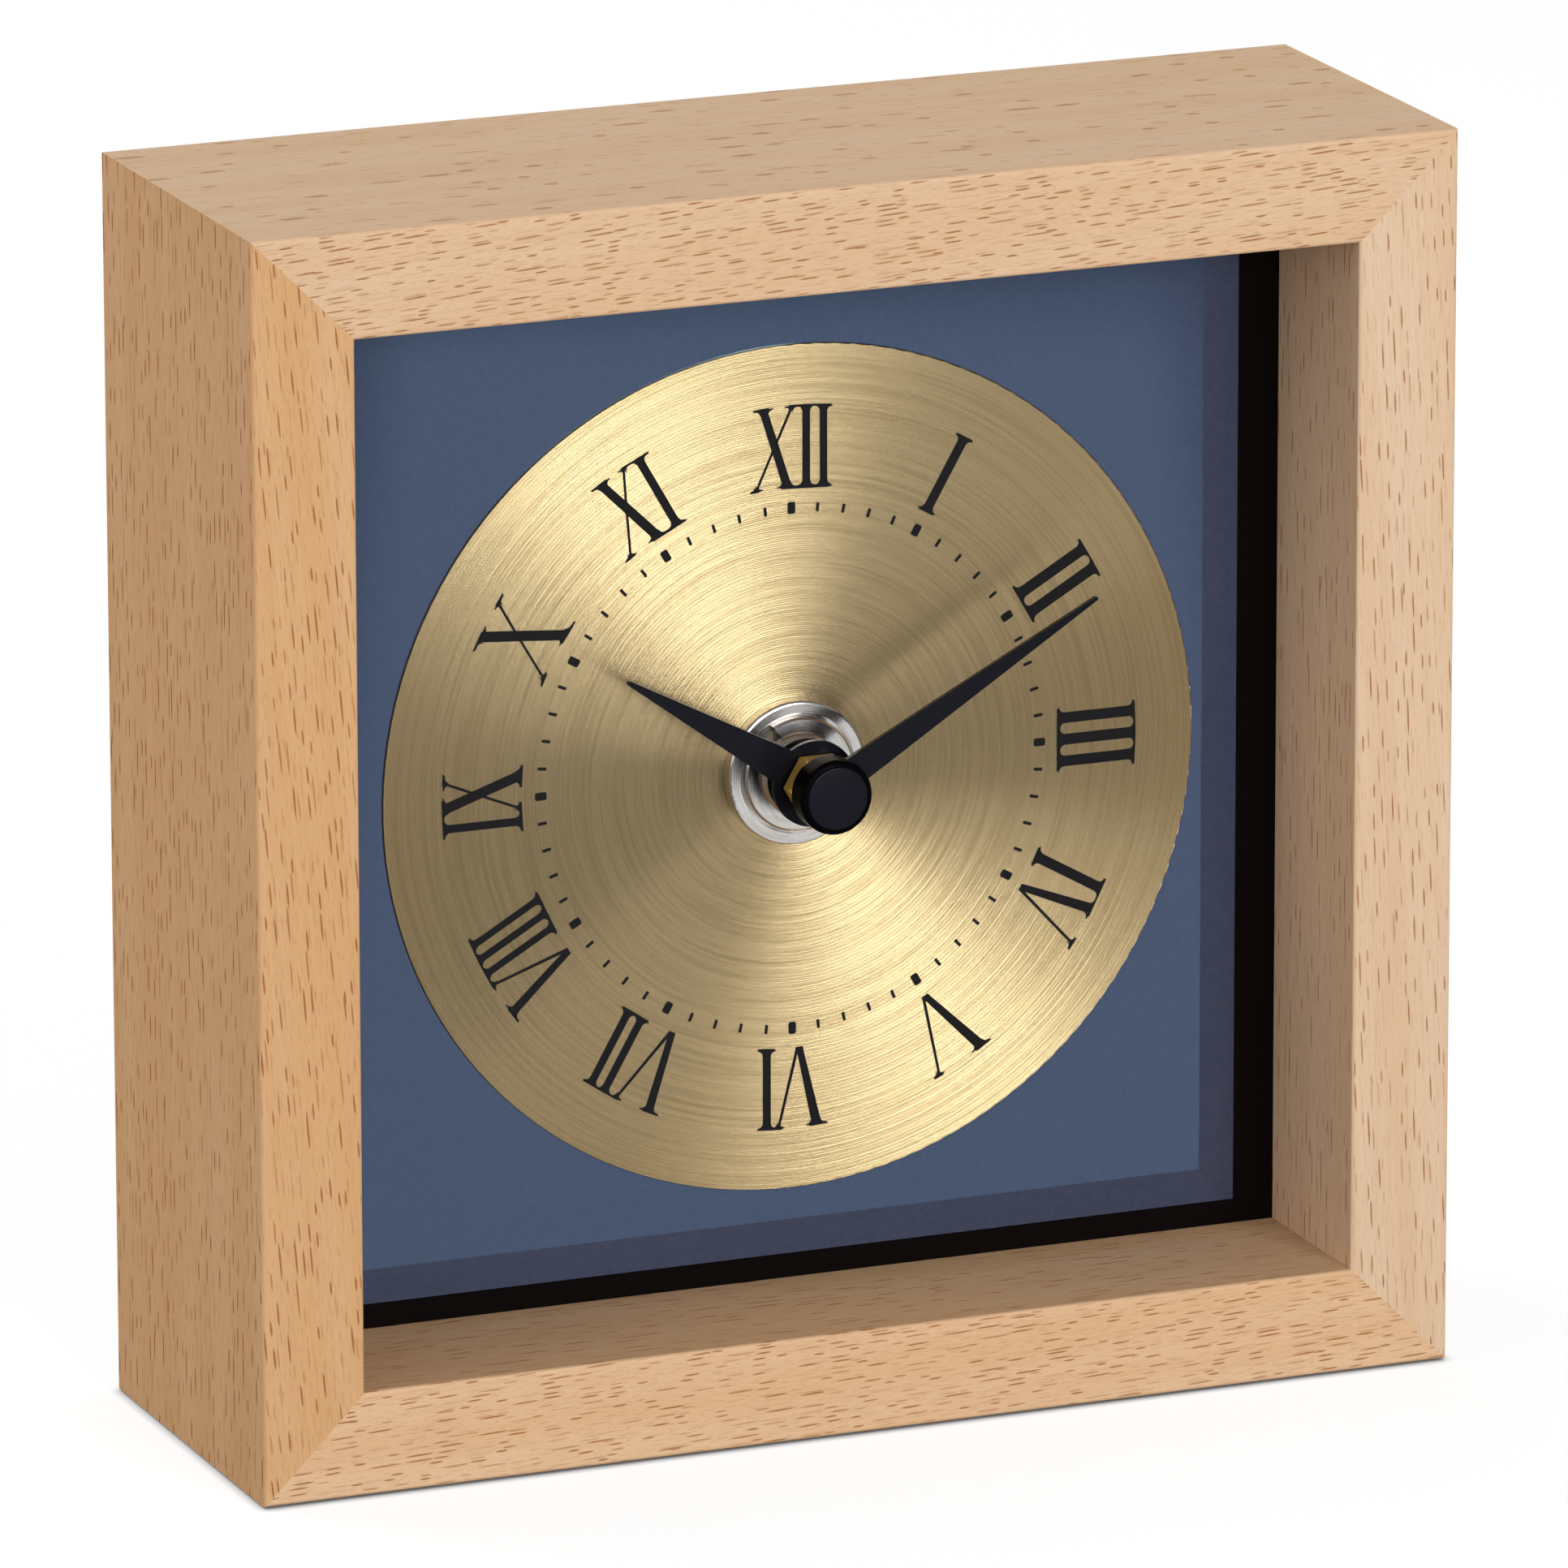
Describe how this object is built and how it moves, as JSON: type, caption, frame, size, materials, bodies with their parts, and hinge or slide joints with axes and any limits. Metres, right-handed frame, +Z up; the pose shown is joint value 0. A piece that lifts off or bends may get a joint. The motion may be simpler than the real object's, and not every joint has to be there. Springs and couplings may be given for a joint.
{
  "type": "table clock",
  "caption": "Square mitred wooden box clock with a round brushed brass dial on a blue plate, black tapered hands and a battery quartz movement behind the panel.",
  "frame": {"origin": "middle of the underside, on the surface the clock stands on", "axes": "+Z up, the dial faces -Y, +X to the right when facing the dial"},
  "size_m": [0.12, 0.04, 0.12],
  "materials": {
    "beech": "oiled pale beech",
    "black_panel": "gloss black",
    "blue_gloss": "gloss slate blue",
    "dial_brass": "circular brushed",
    "nickel": "turned nickel plate",
    "hand_black": "satin black paint",
    "brass": "turned bright brass",
    "cap_black": "satin black",
    "movement_black": "fine spark texture",
    "white_moulding": "natural acetal",
    "cell_jacket": "plain wrapped jacket",
    "spring_steel": "plated strip",
    "circuit_green": "solder mask",
    "copper_wire": "enamelled copper",
    "magnet_grey": "ground magnet"
  },
  "bodies": {
    "case": {"frame_top": "beech", "frame_bottom": "beech", "frame_left": "beech", "frame_right": "beech", "backing_board": "black_panel", "colour_plate": "blue_gloss", "dial_disc": "dial_brass", "cup_washer": "nickel", "centre_nut": "nickel", "centre_bush": "nickel", "movement_case": "movement_black", "rear_cover": "movement_black", "train_plate": "white_moulding", "coil_bobbin": "white_moulding", "battery_cell": "cell_jacket", "contact_positive": "spring_steel", "contact_negative": "spring_steel", "stator": "spring_steel", "quartz_crystal": "spring_steel", "circuit_board": "circuit_green", "coil_winding": "copper_wire"},
    "minute_group": {"minute_hand": "hand_black", "hand_cap": "cap_black", "hand_collet": "brass", "minute_arbor": "brass", "clutch_spring": "spring_steel"},
    "hour_group": {"hour_hand": "hand_black", "hour_wheel": "white_moulding"},
    "motion_group": {"motion_wheel": "white_moulding"},
    "setting_group": {"set_knob": "movement_black", "set_stem": "white_moulding"},
    "intermediate_group": {"intermediate_wheel": "white_moulding"},
    "rotor_group": {"rotor_magnet": "magnet_grey", "rotor_pinion": "white_moulding"},
    "seconds_group": {"seconds_wheel": "white_moulding"},
    "third_group": {"third_wheel": "white_moulding"},
    "centre_group": {"centre_wheel": "white_moulding"}
  },
  "joints": [
    {"name": "minute_hand_turn", "type": "hinge", "parent": "case", "child": "minute_group", "pos_m": [0, 0, 0.06], "axis": [0, 1, 0], "continuous": true},
    {"name": "hour_hand_turn", "type": "hinge", "parent": "case", "child": "hour_group", "pos_m": [0, 0, 0.06], "axis": [0, 1, 0], "continuous": true},
    {"name": "motion_wheel_turn", "type": "hinge", "parent": "case", "child": "motion_group", "pos_m": [-0.008, 0, 0.06], "axis": [0, 1, 0], "continuous": true},
    {"name": "set_knob_turn", "type": "hinge", "parent": "case", "child": "setting_group", "pos_m": [-0.01314, 0, 0.06613], "axis": [0, 1, 0], "continuous": true},
    {"name": "intermediate_wheel_turn", "type": "hinge", "parent": "case", "child": "intermediate_group", "pos_m": [0.00658, 0, 0.05761], "axis": [0, 1, 0], "continuous": true},
    {"name": "rotor_turn", "type": "hinge", "parent": "case", "child": "rotor_group", "pos_m": [0.01249, 0, 0.05656], "axis": [0, 1, 0], "continuous": true},
    {"name": "seconds_wheel_turn", "type": "hinge", "parent": "case", "child": "seconds_group", "pos_m": [0, 0, 0.06], "axis": [0, 1, 0], "continuous": true},
    {"name": "third_wheel_turn", "type": "hinge", "parent": "case", "child": "third_group", "pos_m": [0.0051, 0, 0.06883], "axis": [0, 1, 0], "continuous": true},
    {"name": "centre_wheel_turn", "type": "hinge", "parent": "case", "child": "centre_group", "pos_m": [0, 0, 0.06], "axis": [0, 1, 0], "continuous": true}
  ],
  "couplings": [
    {"joint": "hour_hand_turn", "follows": "minute_hand_turn", "ratio": 0.083333},
    {"joint": "motion_wheel_turn", "follows": "minute_hand_turn", "ratio": -0.33333},
    {"joint": "set_knob_turn", "follows": "minute_hand_turn", "ratio": 1},
    {"joint": "rotor_turn", "follows": "intermediate_wheel_turn", "ratio": -5},
    {"joint": "seconds_wheel_turn", "follows": "intermediate_wheel_turn", "ratio": -0.16667},
    {"joint": "third_wheel_turn", "follows": "intermediate_wheel_turn", "ratio": 0.022222},
    {"joint": "centre_wheel_turn", "follows": "intermediate_wheel_turn", "ratio": -0.0027778}
  ]
}
